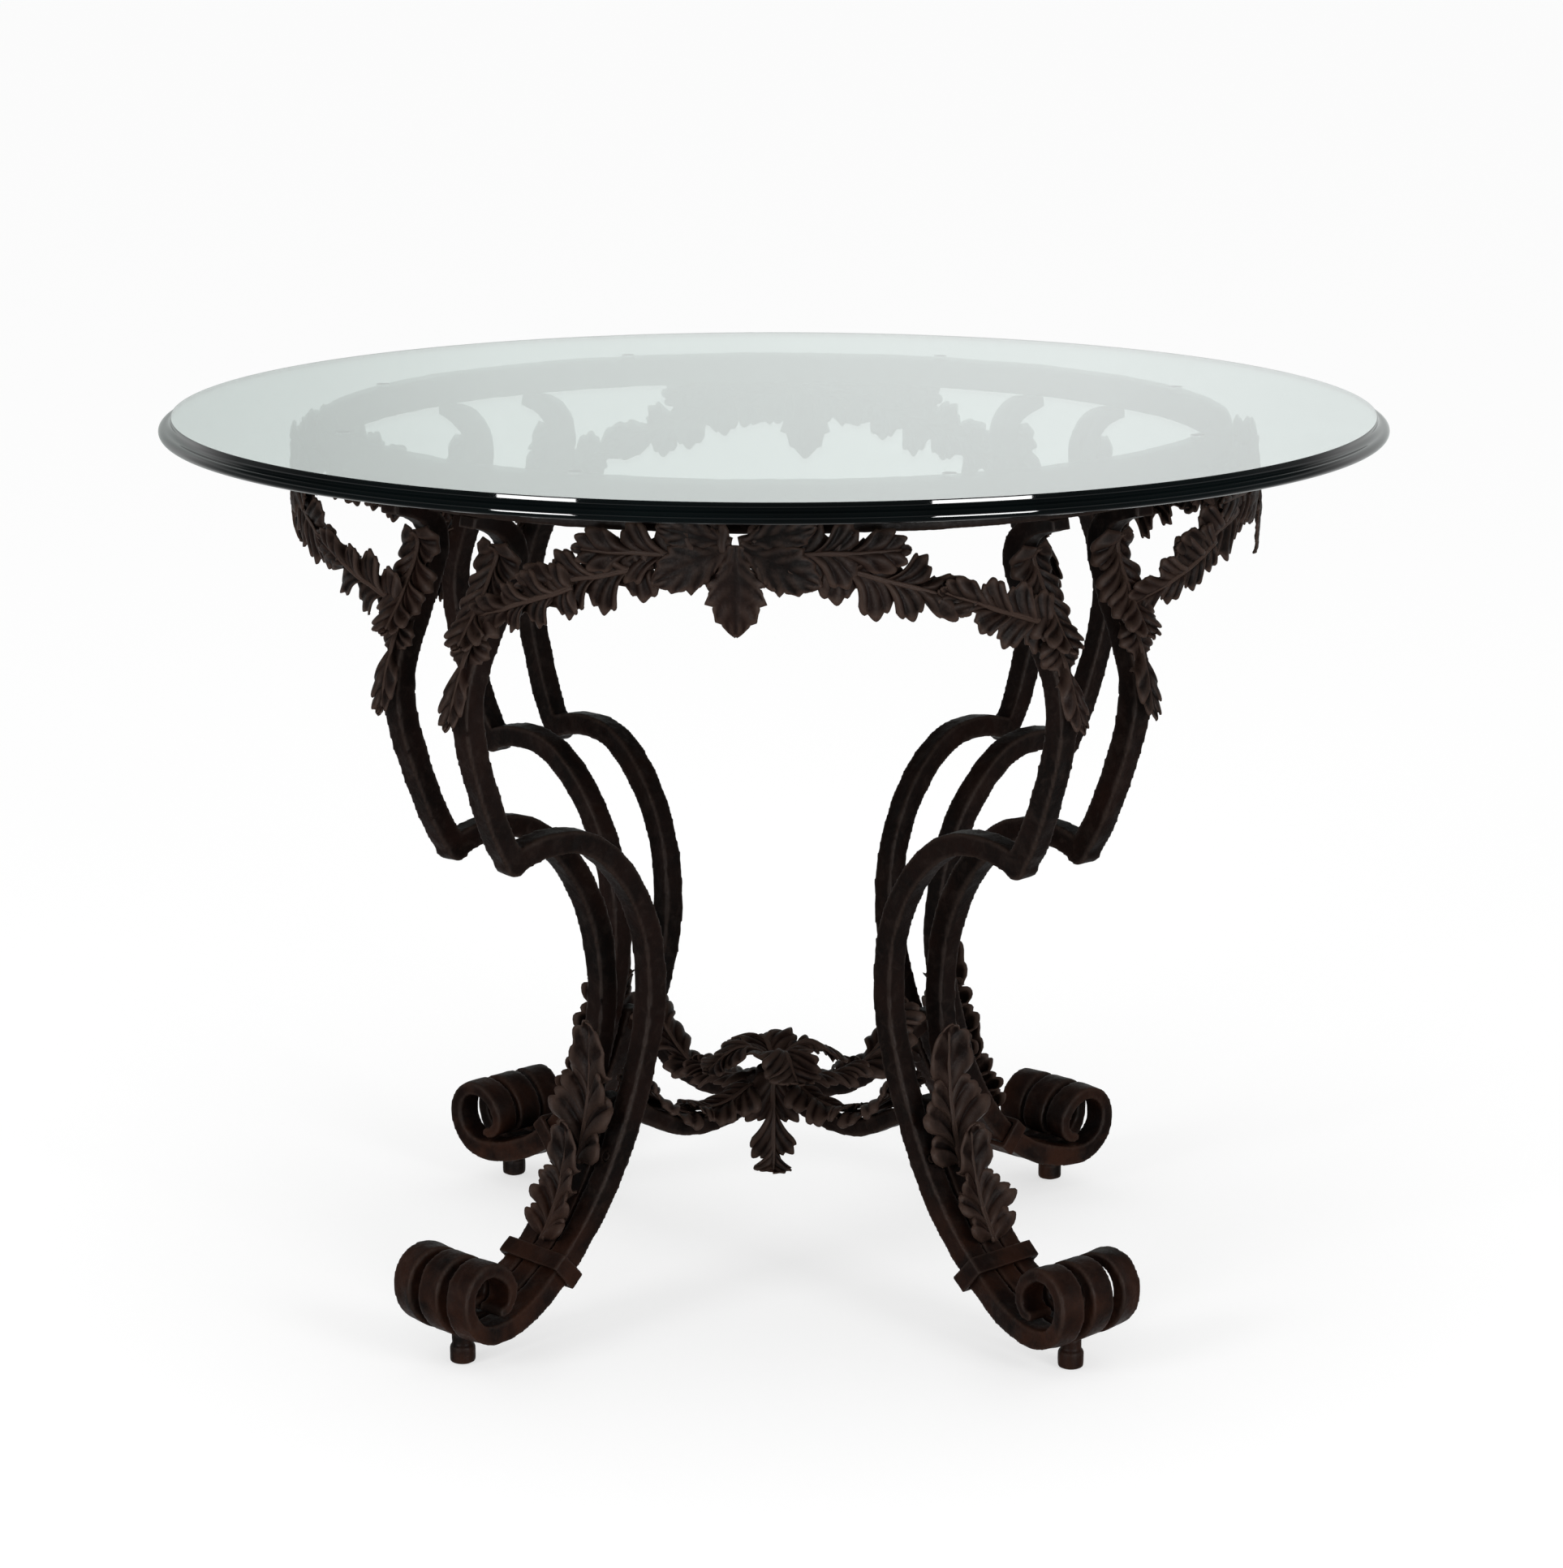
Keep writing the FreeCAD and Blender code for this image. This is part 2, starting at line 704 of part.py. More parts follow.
def main():
    os.makedirs("parts", exist_ok=True)
    save("glass_top", glass_top())
    save("glass_pads", glass_pads())
    save("top_ring", top_ring())

    bars = {"left": side_bar(-1), "right": side_bar(1)}
    leaves = {"left": shoulder_leaves(-1), "right": shoulder_leaves(1)}
    post = centre_bar()
    foot = peg(post)
    band = collar()
    knee = knee_leaf()
    ankle = ankle_leaf()
    boss = hub()
    stretcher = arm(boss, post)
    stretcher_leaves = arm_leaves()
    rivets = [rivet(-1), rivet(1)]
    for leg, angle in legs.items():
        for side in ("left", "right"):
            save(leg + "_" + side + "_bar", turned(bars[side], angle))
            save(leg + "_" + side + "_shoulder_leaves", turned(leaves[side], angle))
        save(leg + "_centre_bar", turned(post, angle))
        save(leg + "_collar", turned(band, angle))
        save(leg + "_foot_peg", turned(foot, angle))
        save(leg + "_knee_leaf", turned(knee, angle))
        save(leg + "_ankle_leaf", turned(ankle, angle))
        save(leg + "_stretcher_arm", turned(stretcher, angle))
        save(leg + "_arm_leaves", turned(stretcher_leaves, angle))
    save("leg_rivets", group([turned(pin, angle) for pin in rivets for angle in legs.values()]))

    vine = rosette()
    near_leaves = [turned(leaves["right"], legs["front_left"]), turned(leaves["left"], legs["front_right"])]
    swag = garland(group(near_leaves))
    for name, angle in sides.items():
        save(name + "_rosette", turned(vine, angle))
        save(name + "_garland", turned(swag, angle))
    save("stretcher_hub", boss)
    save("hub_rosette", hub_rosette())
    front_arms = [turned(stretcher, legs["front_left"]), turned(stretcher, legs["front_right"])]
    save("hub_pendant_leaf", hub_pendant([boss] + front_arms))


main()
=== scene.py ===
import math
import random

import bmesh
import bpy
import numpy as np
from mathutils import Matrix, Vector, noise
from mathutils.bvhtree import BVHTree


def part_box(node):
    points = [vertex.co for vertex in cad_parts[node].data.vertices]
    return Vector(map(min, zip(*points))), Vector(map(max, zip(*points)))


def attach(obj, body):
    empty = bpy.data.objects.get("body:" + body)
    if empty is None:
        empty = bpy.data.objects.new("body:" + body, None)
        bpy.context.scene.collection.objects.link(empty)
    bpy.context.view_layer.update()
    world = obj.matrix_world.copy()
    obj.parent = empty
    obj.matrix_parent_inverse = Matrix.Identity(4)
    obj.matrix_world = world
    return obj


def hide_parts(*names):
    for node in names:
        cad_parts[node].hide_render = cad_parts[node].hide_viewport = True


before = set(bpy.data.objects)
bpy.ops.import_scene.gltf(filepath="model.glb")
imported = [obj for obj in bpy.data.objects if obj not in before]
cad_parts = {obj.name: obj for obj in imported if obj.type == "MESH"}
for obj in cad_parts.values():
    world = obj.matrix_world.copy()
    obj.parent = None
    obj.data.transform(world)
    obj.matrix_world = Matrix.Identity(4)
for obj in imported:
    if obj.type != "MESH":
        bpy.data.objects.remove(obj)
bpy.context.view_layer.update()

# A center table: a round glass top on a forged iron base with acanthus leaves.
# Metres, the frame's own place: +Z up, the front towards -Y.

MM = 0.001

# Without a fixed seed, noise vectors would be offset by the clock and differ from run to run
noise.seed_set(11)

# Camera, as measured from the photograph
IMAGE_WIDTH = 1926
FOCAL_PIXELS = 5402.5
SENSOR_WIDTH = 36.0
CAMERA_PLACE = (0.0240, -3.8066, 1.3237)
CAMERA_PITCH = 0.2258
CAMERA_YAW = -0.0046
BASE_TURN = 0.0206

# Edge of the glass
EDGE_REACH = 10.5 * MM
LIP_HEIGHT = 9.0 * MM
DISC_EDGE = 3.0 * MM
EDGE_ROUND = 0.8 * MM
GLASS_SEGMENTS = 360

# Upper ends of the side bars: where they get thinner under the ring and are drawn in, by distance
# from the table's axis and by height
THIN_REACH = (0.352, 0.398)
THIN_HEIGHT = (0.706, 0.720)
THINNEST = 0.5
DRAWN_REACH = (0.37, 0.398)
DRAWN_IN = 0.02

# Sheet of the leaves
LEAF_THICKNESS = 1.6 * MM
CRUMPLE = 1.2 * MM
CRUMPLE_SIZE = 24 * MM

# Steps along the spines of leaves
FACE_STEPS = 24
SPINE_STEPS = 16
ROSETTE_STEPS = 12

LEGS = {"front_left": 225, "front_right": 315, "back_right": 45, "back_left": 135}
SIDES = {"front": 0, "right": 90, "back": 180, "left": 270}


# Small helpers

def corner(name, low):
    """Lowest or highest corner of a CAD node."""
    return Vector(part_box(name)[0 if low else 1])


def link(obj):
    bpy.context.scene.collection.objects.link(obj)
    return obj


def mesh_object(name, points, faces, material):
    mesh = bpy.data.meshes.new(name)
    mesh.from_pydata([tuple(point) for point in points], [], faces)
    mesh.validate()
    mesh.polygons.foreach_set("use_smooth", [True] * len(mesh.polygons))
    mesh.materials.append(material)
    return link(bpy.data.objects.new(name, mesh))


def applied(obj):
    """Applies the modifiers of an object."""
    depsgraph = bpy.context.evaluated_depsgraph_get()
    mesh = bpy.data.meshes.new_from_object(obj.evaluated_get(depsgraph))
    obj.modifiers.clear()
    obj.data = mesh


def stands_for(obj, name, body="root"):
    """Makes an object the visible piece of a CAD node, riding on a body."""
    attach(obj, body)
    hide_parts(name)


def turned_z(points, degrees):
    """Points turned about the table's axis."""
    angle = math.radians(degrees)
    c, s = math.cos(angle), math.sin(angle)
    points = np.asarray(points)
    return np.stack([
        points[:, 0] * c - points[:, 1] * s,
        points[:, 0] * s + points[:, 1] * c,
        points[:, 2],
    ], axis=1)


def unit(v):
    return v / np.linalg.norm(v)


# Materials

def node(tree, kind, **settings):
    made = tree.nodes.new(kind)
    for key, value in settings.items():
        setattr(made, key, value)
    return made


def noise_node(tree, coords, scale, detail=4.0, rough=0.55, distortion=0.0):
    made = node(tree, "ShaderNodeTexNoise")
    made.inputs["Scale"].default_value = scale
    made.inputs["Detail"].default_value = detail
    made.inputs["Roughness"].default_value = rough
    made.inputs["Distortion"].default_value = distortion
    tree.links.new(coords, made.inputs["Vector"])
    return made.outputs["Fac"]


def ramp_node(tree, value, stops):
    made = node(tree, "ShaderNodeValToRGB")
    ramp = made.color_ramp
    while len(ramp.elements) < len(stops):
        ramp.elements.new(0.5)
    for element, (place, color) in zip(ramp.elements, stops):
        element.position = place
        element.color = color if len(color) == 4 else (*color, 1.0)
    tree.links.new(value, made.inputs["Fac"])
    return made.outputs["Color"]


def mix_node(tree, share, first, second, blend="MIX"):
    made = node(tree, "ShaderNodeMix", data_type="RGBA", blend_type=blend)
    for socket, value in ((made.inputs[0], share), (made.inputs[6], first), (made.inputs[7], second)):
        if isinstance(value, bpy.types.NodeSocket):
            tree.links.new(value, socket)
        else:
            socket.default_value = value
    return made.outputs[2]


def grey(value):
    return (value, value, value, 1.0)


def grey_ramp(tree, value, *stops):
    return ramp_node(tree, value, [(place, grey(level)) for place, level in stops])


def axes(tree, coords):
    """The X, Y and Z of some coordinates."""
    made = node(tree, "ShaderNodeSeparateXYZ")
    tree.links.new(coords, made.inputs[0])
    return made.outputs


def new_material(name):
    material = bpy.data.materials.new(name)
    material.use_nodes = True
    tree = material.node_tree
    return material, tree, tree.nodes["Principled BSDF"]


def object_coords(tree):
    return node(tree, "ShaderNodeTexCoord").outputs["Object"]


def cloud_color(tree, shader, scale, detail, first, second):
    """Base colour that drifts between two tones."""
    cloud = noise_node(tree, object_coords(tree), scale, detail)
    color = ramp_node(tree, cloud, [(0.3, first), (0.7, second)])
    tree.links.new(color, shader.inputs["Base Color"])


FOOT_RUST = (0.05, 0.017, 0.008, 1.0)


def iron_material(name, dark, rust, wear_and_highlight, grain):
    """Patinated iron: dark brown, rusty in patches and near the floor, lighter on its edges with wear and a
    painted highlight, darker in its hollows with painted shade.
    """
    material, tree, shader = new_material(name)
    coords = object_coords(tree)
    pointiness = node(tree, "ShaderNodeNewGeometry").outputs["Pointiness"]
    grainy = noise_node(tree, coords, grain, 6.0, 0.65)
    patches = grey_ramp(tree, noise_node(tree, coords, 14.0, 5.0, 0.6, 0.4), (0.4, 0), (0.66, 1))
    speckle = grey_ramp(tree, noise_node(tree, coords, 240.0, 3.0, 0.6), (0.45, 0), (0.75, 0.45))
    mottle = grey_ramp(tree, noise_node(tree, coords, 75.0, 4.0, 0.7, 0.6), (0.5, 0), (0.72, 0.4))
    # Convex edges get the lighter tone: partly wear, partly a painted highlight.
    edge_wear_highlight_mask = grey_ramp(tree, pointiness, (0.505, 0), (0.56, 1))
    base = dark
    for share, tone in ((patches, rust), (speckle, rust), (mottle, wear_and_highlight), (edge_wear_highlight_mask, wear_and_highlight)):
        base = mix_node(tree, share, base, tone)
    low = grey_ramp(tree, axes(tree, coords)["Z"], (0.02, 0.6), (0.16, 0))
    streaks = grey_ramp(tree, noise_node(tree, coords, 22.0, 5.0, 0.6), (0.42, 0), (0.62, 1))
    base = mix_node(tree, mix_node(tree, 1.0, low, streaks, "MULTIPLY"), base, FOOT_RUST)
    # Concave hollows are darkened: painted shade.
    hollow_shade = grey_ramp(tree, pointiness, (0.44, 0.35), (0.495, 1))
    base = mix_node(tree, 1.0, base, hollow_shade, "MULTIPLY")
    tree.links.new(base, shader.inputs["Base Color"])
    tree.links.new(grey_ramp(tree, grainy, (0.3, 0.36), (0.7, 0.62)), shader.inputs["Roughness"])
    shader.inputs["Specular IOR Level"].default_value = 0.05
    bump = node(tree, "ShaderNodeBump")
    bump.inputs["Strength"].default_value = 0.5
    bump.inputs["Distance"].default_value = 0.6 * MM
    tree.links.new(grainy, bump.inputs["Height"])
    tree.links.new(bump.outputs["Normal"], shader.inputs["Normal"])
    return material


def glass_material():
    """Clear float glass with a green-grey body and faint smears."""
    material, tree, shader = new_material("glass_clear")
    shader.inputs["Base Color"].default_value = (0.97, 0.99, 0.985, 1.0)
    shader.inputs["IOR"].default_value = 1.52
    shader.inputs["Transmission Weight"].default_value = 1.0
    shader.inputs["Coat Weight"].default_value = 1.0
    shader.inputs["Coat Roughness"].default_value = 0.0
    body = node(tree, "ShaderNodeVolumeAbsorption")
    body.inputs["Color"].default_value = (0.76, 0.84, 0.82, 1.0)
    body.inputs["Density"].default_value = 50.0
    tree.links.new(body.outputs["Volume"], tree.nodes["Material Output"].inputs["Volume"])
    smears = grey_ramp(tree, noise_node(tree, object_coords(tree), 7.0, 3.0), (0.5, 0), (0.8, 0.012))
    tree.links.new(smears, shader.inputs["Roughness"])
    return material


def edge_material():
    """The worked edge of the glass, where its green body is deep enough to look black."""
    material, tree, shader = new_material("glass_edge")
    cloud_color(tree, shader, 9.0, 2.0, (0.0012, 0.0022, 0.0024), (0.002, 0.004, 0.0044))
    shader.inputs["Roughness"].default_value = 0.03
    shader.inputs["Specular IOR Level"].default_value = 0.36
    return material


def pad_material():
    """Clear soft plastic of the pads under the glass."""
    material, tree, shader = new_material("pad_clear")
    cloud_color(tree, shader, 300.0, 4.0, (0.45, 0.46, 0.45), (0.6, 0.61, 0.6))
    shader.inputs["Roughness"].default_value = 0.35
    shader.inputs["Transmission Weight"].default_value = 0.5
    return material


def floor_material():
    """Pale floor that glows a little, so that it comes out nearly white."""
    material, _, shader = new_material("studio_floor")
    shader.inputs["Base Color"].default_value = (0.42, 0.42, 0.42, 1.0)
    shader.inputs["Roughness"].default_value = 0.9
    shader.inputs["Specular IOR Level"].default_value = 0.0
    shader.inputs["Emission Color"].default_value = (1.0, 1.0, 1.0, 1.0)
    shader.inputs["Emission Strength"].default_value = 0.64
    return material


# The lighter tone of each iron serves its mottling, and on the edges both wear and a painted highlight.
BAR_IRON = iron_material(
    "bar_iron",
    dark=(0.0044, 0.0027, 0.0022, 1),
    rust=(0.0125, 0.0051, 0.0035, 1),
    wear_and_highlight=(0.03, 0.0195, 0.0155, 1),
    grain=420.0,
)
LEAF_IRON = iron_material(
    "leaf_iron",
    dark=(0.0042, 0.0023, 0.0017, 1),
    rust=(0.0132, 0.0052, 0.0034, 1),
    wear_and_highlight=(0.05, 0.031, 0.024, 1),
    grain=520.0,
)
GLASS = glass_material()
GLASS_EDGE = edge_material()
PAD = pad_material()


# Forged bars: a copy of the CAD solid, with softened edges and the marks of the hammer

def forged(name, voxel, wobble, dents, thin_end=False):
    """Piece that stands for an iron node, with hand-forged faces and rounded edges."""
    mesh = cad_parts[name].data.copy()
    mesh.materials.clear()
    mesh.materials.append(BAR_IRON)
    work = bmesh.new()
    work.from_mesh(mesh)
    bmesh.ops.remove_doubles(work, verts=work.verts, dist=0.01 * MM)
    work.to_mesh(mesh)
    work.free()
    obj = link(bpy.data.objects.new(name + "_forged", mesh))
    remesh = obj.modifiers.new("voxels", "REMESH")
    remesh.mode = "VOXEL"
    remesh.voxel_size = voxel
    remesh.use_smooth_shade = True
    soften = obj.modifiers.new("soften", "SMOOTH")
    soften.factor = 0.35
    soften.iterations = 1
    applied(obj)
    mesh = obj.data
    points = np.empty(len(mesh.vertices) * 3)
    normals = np.empty(len(mesh.vertices) * 3)
    mesh.vertices.foreach_get("co", points)
    mesh.vertex_normals.foreach_get("vector", normals)
    points = points.reshape(-1, 3)
    normals = normals.reshape(-1, 3)
    if thin_end:
        reach = np.hypot(points[:, 0], points[:, 1])
        ring_bottom = corner("top_ring", True).z
        thinned = np.interp(reach, THIN_REACH, [1.0, THINNEST])
        high = np.interp(points[:, 2], THIN_HEIGHT, [0.0, 1.0])
        points[:, 2] += high * (1 - thinned) * (ring_bottom - points[:, 2])
        points[:, :2] *= (1 - high * np.interp(reach, DRAWN_REACH, [0.0, DRAWN_IN]))[:, None]
    shift = np.array([
        wobble * noise.noise(Vector(p) * 14.0) + dents * noise.noise(Vector(p) * 62.0)
        + 0.4 * dents * noise.noise(Vector(p) * 140.0)
        for p in points
    ])
    points += normals * shift[:, None]
    mesh.vertices.foreach_set("co", points.ravel())
    mesh.update()
    stands_for(obj, name)


# Size of the voxels, wobble of the faces and depth of the dents, in mm, by the end of a node's name
FORGING = [
    ("_bar", (2.0, 0.9, 0.7)),
    ("top_ring", (2.6, 0.7, 0.5)),
    ("_collar", (1.2, 0.3, 0.5)),
    ("_foot_peg", (1.4, 0.2, 0.4)),
    ("_stretcher_arm", (2.0, 0.8, 1.0)),
    ("leg_rivets", (1.2, 0.2, 0.4)),
    ("stretcher_hub", (1.2, 0.2, 0.4)),
]


def make_bars():
    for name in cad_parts:
        for ending, sizes in FORGING:
            if name.endswith(ending):
                thin_end = ending == "_bar" and "centre" not in name
                forged(name, *[size * MM for size in sizes], thin_end)


# Leaves

def side_edge(style, origin, reach, angle, half, teeth):
    """Toothed edge of a side lobe from its rear notch to its front notch: along, across, tooth and place."""
    place = np.linspace(0.0, 1.0, 6 * teeth + 3)
    tooth = np.abs(np.sin(np.pi * teeth * place)) ** 0.7
    bite = 1 - style["notch"] * (1 - tooth) * np.sin(np.pi * place)
    share = (0.2 + 0.8 * np.sin(np.pi * place) ** 0.45) * bite
    spread = -np.cos(np.pi * place) * np.interp(share, [0.0, 0.25, 0.6, 0.85, 1.0], style["waist"])
    bend = style["bend"]
    heading = angle + bend * share
    along = origin + reach / bend * (np.sin(heading) - math.sin(angle)) + half * spread * np.sin(heading)
    across = reach / bend * (math.cos(angle) - np.cos(heading)) - half * spread * np.cos(heading)
    return along, across, tooth, place


def tip_edge(style, origin, reach, half, teeth):
    """One side of the edge of the leaf's last lobe, from its notch to the tip of the leaf."""
    place = np.linspace(0.0, 1.0, 7 * teeth + 3)
    tooth = np.abs(np.sin(np.pi * (teeth + 0.5) * place)) ** 0.7
    bite = 1 - 0.8 * style["notch"] * (1 - tooth)
    rise = np.sin(0.5 * np.pi * place)
    along = origin + reach * (0.12 + 0.88 * rise ** 0.9) * bite
    swell = np.interp(rise, [0.0, 0.3, 0.6, 1.0], [0.55, 1.0, 1.06, 1.0])
    across = half * swell * np.cos(0.5 * np.pi * place) ** 0.75 * bite
    return along, across, tooth, place * 0.5


# How wide a notch draws the edge in, how far the rows of a lobe bulge, and where its folds are full
NOTCH_WIDTH = 0.07
BELLY = 0.55
ROOTED = 0.35


def lobe_sheet(style, edge, root, notches, half, crooked):
    """Sheet between the midrib and the edge of a lobe: rows outwards, columns round the lobe."""
    along, across, tooth, place = edge
    near = [np.exp(-(away / NOTCH_WIDTH) ** 2) for away in (place, 1 - place)]
    for share, (x, y) in zip(near, notches):
        along = along + share * (x - along)
        across = across + share * (y - across)
    across = np.maximum(across, 0.0)
    ground = np.interp(np.linspace(0.0, 1.0, len(along)), [0.0, 1.0], root)
    row = np.linspace(0.0, 1.0, style["rows"])[:, None]
    run = np.hypot(along - ground, across)
    lean_x = (1 - style["sweep"]) * (along - ground) + style["sweep"] * run
    lean_y = (1 - style["sweep"]) * across
    x = ground + 2 * row * (1 - row) * BELLY * lean_x + row ** 2 * (along - ground)
    y = 2 * row * (1 - row) * BELLY * lean_y + row ** 2 * across
    rooted = np.minimum(row / ROOTED, 1.0)
    notch = near[0] + near[1]
    out = run / half
    up = style["pleat"] * (tooth ** 1.3 - 0.6) * rooted - style["sink"] * notch * row
    up = up + style["tilt"] * (1 - 2 * place) * rooted * (1 - notch) * out
    up = up + style["arch"] * np.sin(np.pi * row) * (1 - notch) - style["camber"] * (row * out) ** 2
    up = up + crooked * style["curl"] * (row * np.sin(np.pi * place)) ** 3
    return np.stack([x, y, up], axis=-1)


def serrated(style, reach, half, teeth):
    """A vine lobe along +X, with a saw-toothed edge, a vein and side veins."""
    rho = np.linspace(0.0, 1.0, 8 * teeth + 1)[:, None]
    phi = np.linspace(-1.0, 1.0, 13)[None, :]
    swell = np.interp(rho, [0.0, 0.12, 0.3, 0.45, 0.6, 0.8, 0.92, 1.0],
                      [0.3, 0.34, 0.82, 1.0, 0.94, 0.56, 0.26, 0.0])
    saw = (rho * teeth) % 1.0
    edge = 1 - style["notch"] * (1 - saw) ** 1.3
    across = half * phi * swell * (1 - np.abs(phi) ** 3 * (1 - edge))
    point = np.minimum(4 * rho, 1) * np.minimum(4 * (1 - rho), 1)
    along = reach * (rho + 0.07 * point * np.abs(phi) ** 2)
    veins = np.cos(2 * np.pi * (teeth * rho - 1.4 * np.abs(phi)))
    up = style["pleat"] * 0.4 * veins * np.abs(phi) ** 0.5 * point - style["camber"] * phi ** 2
    up = up + style["arch"] * np.sin(np.pi * rho) - style["rib_height"] * np.exp(-(phi * swell / 0.09) ** 2)
    return np.stack([along, across, up + style["layer"]], axis=-1)


def midrib(style, length):
    """Raised rib with a groove along its middle."""
    s = np.linspace(0.0, 1.0, 22)[:, None]
    w = np.linspace(-1.0, 1.0, 9)[None, :]
    across = w * style["rib"] * (1 - 0.8 * s)
    rise = style["rib_height"] * (1 - 0.6 * s ** 2) * (1 - w ** 4)
    up = rise - style["rib_height"] * np.exp(-(w / 0.25) ** 2)
    along = np.broadcast_to(0.94 * length * s, across.shape)
    return np.stack([along, across, up + style["layer"]], axis=-1)


def mirrored(patch):
    return patch * np.array([1.0, -1.0, 1.0])


def acanthus(length, half, style, rng):
    """Patches of an acanthus leaf along +X: lobed sheets on both sides and the midrib."""
    patches = []
    tip_start = style["tip_start"] * length
    depth = style["depth"] * half
    forward = style["forward"] * half
    for side in (1, -1):
        origins = [length * (share + rng.uniform(-0.012, 0.012)) for share, *_ in style["lobes"]]
        origins.append(tip_start)
        middles = [0.5 * (a + b) for a, b in zip(origins, origins[1:])]
        roots = [0.0] + middles + [0.97 * length]
        notches = [(0.02 * length, style["stem"] * half)]
        notches += [(origin + forward, depth * rng.uniform(0.85, 1.15)) for origin in origins[1:]]
        sheets = []
        for k, (_, reach, angle, width, teeth) in enumerate(style["lobes"]):
            reach = half * reach * rng.uniform(0.9, 1.1)
            turn = math.radians(angle + rng.uniform(-5, 5))
            edge = side_edge(style, origins[k], reach, turn, half * width, teeth)
            crooked = rng.uniform(-0.6, 1.0)
            sheets.append(lobe_sheet(style, edge, roots[k:k + 2], notches[k:k + 2], half, crooked))
        edge = tip_edge(style, tip_start, length - tip_start, half * style["tip_half"], style["tip_teeth"])
        tip = [notches[-1], (length, 0.0)]
        sheets.append(lobe_sheet(style, edge, roots[-2:], tip, half, 0.6))
        patches += sheets if side > 0 else [mirrored(sheet) for sheet in sheets]
    patches.append(midrib(style, length))
    return patches


def laid(points, spine, flat_half=1.0, wrap_radius=1.0):
    """Lays leaf points on a spine and wraps them round a bar beyond a half width."""
    places = np.array([place for place, _ in spine])
    outs = np.array([unit(np.array(out)) for _, out in spine])
    steps = np.linalg.norm(np.diff(places, axis=0), axis=1)
    reach = np.concatenate([[0.0], np.cumsum(steps)])
    tangents = np.gradient(places, reach, axis=0)
    x, y, z = points[:, 0], points[:, 1], points[:, 2]
    beyond = np.clip(np.abs(y) - flat_half, 0, None)
    turn = np.clip(beyond / wrap_radius, 0, 1.3)
    rest = beyond - turn * wrap_radius
    spread = np.minimum(np.abs(y), flat_half) + (wrap_radius + z) * np.sin(turn) + rest * np.cos(turn)
    y = np.sign(y) * spread
    z = (wrap_radius + z) * np.cos(turn) - wrap_radius - rest * np.sin(turn)
    inside = np.clip(x, 0, reach[-1])
    place = np.stack([np.interp(inside, reach, places[:, k]) for k in range(3)], axis=1)
    tangent = np.stack([np.interp(inside, reach, tangents[:, k]) for k in range(3)], axis=1)
    out = np.stack([np.interp(inside, reach, outs[:, k]) for k in range(3)], axis=1)
    tangent /= np.linalg.norm(tangent, axis=1)[:, None]
    out -= tangent * np.sum(out * tangent, axis=1)[:, None]
    out /= np.linalg.norm(out, axis=1)[:, None]
    side = np.cross(out, tangent)
    return place + tangent * (x - inside)[:, None] + side * y[:, None] + out * z[:, None]


def grid_faces(patches):
    """Points and faces of grids of points."""
    points = []
    faces = []
    first = 0
    for patch in patches:
        rows, cols = patch.shape[:2]
        points.append(patch.reshape(-1, 3))
        for i in range(rows - 1):
            for j in range(cols - 1):
                a = first + i * cols + j
                faces.append((a, a + 1, a + cols + 1, a + cols))
        first += rows * cols
    return np.concatenate(points), faces


def crumpled(points, seed):
    """Leaf points moved a little, as in hand-worked sheet."""
    shift = Vector((seed * 3.1, seed * 1.7, seed * 0.9))
    waves = np.array([noise.noise_vector(Vector(p) / CRUMPLE_SIZE + shift) for p in points])
    return points + CRUMPLE * waves


# Each lobe of a leaf: place along it, reach in half widths, angle from the midrib in degrees, half
# width in half widths of the leaf, and number of teeth
GARLAND_STYLE = dict(
    lobes=[(0.02, 1.0, 44, 0.45, 3), (0.24, 1.15, 40, 0.46, 3), (0.46, 1.05, 32, 0.42, 3)],
    waist=[0.6, 0.85, 1.0, 0.92, 0.7], rows=10, bend=0.7, notch=0.2, sweep=0.45, depth=0.36, forward=0.4,
    stem=0.15, pleat=2.0 * MM, sink=3.0 * MM, arch=1.6 * MM, camber=2.6 * MM, tilt=3.4 * MM, curl=5.0 * MM,
    layer=0.5 * MM, tip_start=0.62, tip_half=0.62, tip_teeth=3, rib=1.5 * MM, rib_height=0.6 * MM,
)
SHOULDER_STYLE = dict(
    GARLAND_STYLE, lobes=[(0.06, 0.9, 36, 0.4, 3), (0.28, 1.1, 32, 0.42, 3), (0.48, 1.05, 26, 0.4, 3)],
    stem=0.4, pleat=2.2 * MM, sink=4.0 * MM, tilt=3.6 * MM, tip_start=0.62, tip_half=0.62, rib=1.7 * MM,
    rib_height=0.8 * MM,
)
DROP_STYLE = dict(
    SHOULDER_STYLE, lobes=[(0.08, 1.15, 34, 0.42, 3)], tip_start=0.4, tip_half=0.62, curl=6.0 * MM,
)
KNEE_STYLE = dict(
    GARLAND_STYLE, lobes=[(-0.02, 0.95, 30, 0.36, 2), (0.15, 1.15, 28, 0.38, 2), (0.33, 1.0, 20, 0.34, 2)],
    notch=0.12, bend=0.55, sweep=0.65, depth=0.52, pleat=2.8 * MM, camber=-5.0 * MM, curl=9.0 * MM,
    tip_start=0.5, tip_half=0.56, tip_teeth=2, rib=2.2 * MM, rib_height=1.2 * MM,
)
HUB_STYLE = dict(
    GARLAND_STYLE, lobes=[(0.08, 1.0, 30, 0.42, 3), (0.42, 1.05, 34, 0.4, 3)], bend=0.5, forward=0.3,
    tip_start=0.7, tip_half=0.8, curl=6.0 * MM,
)
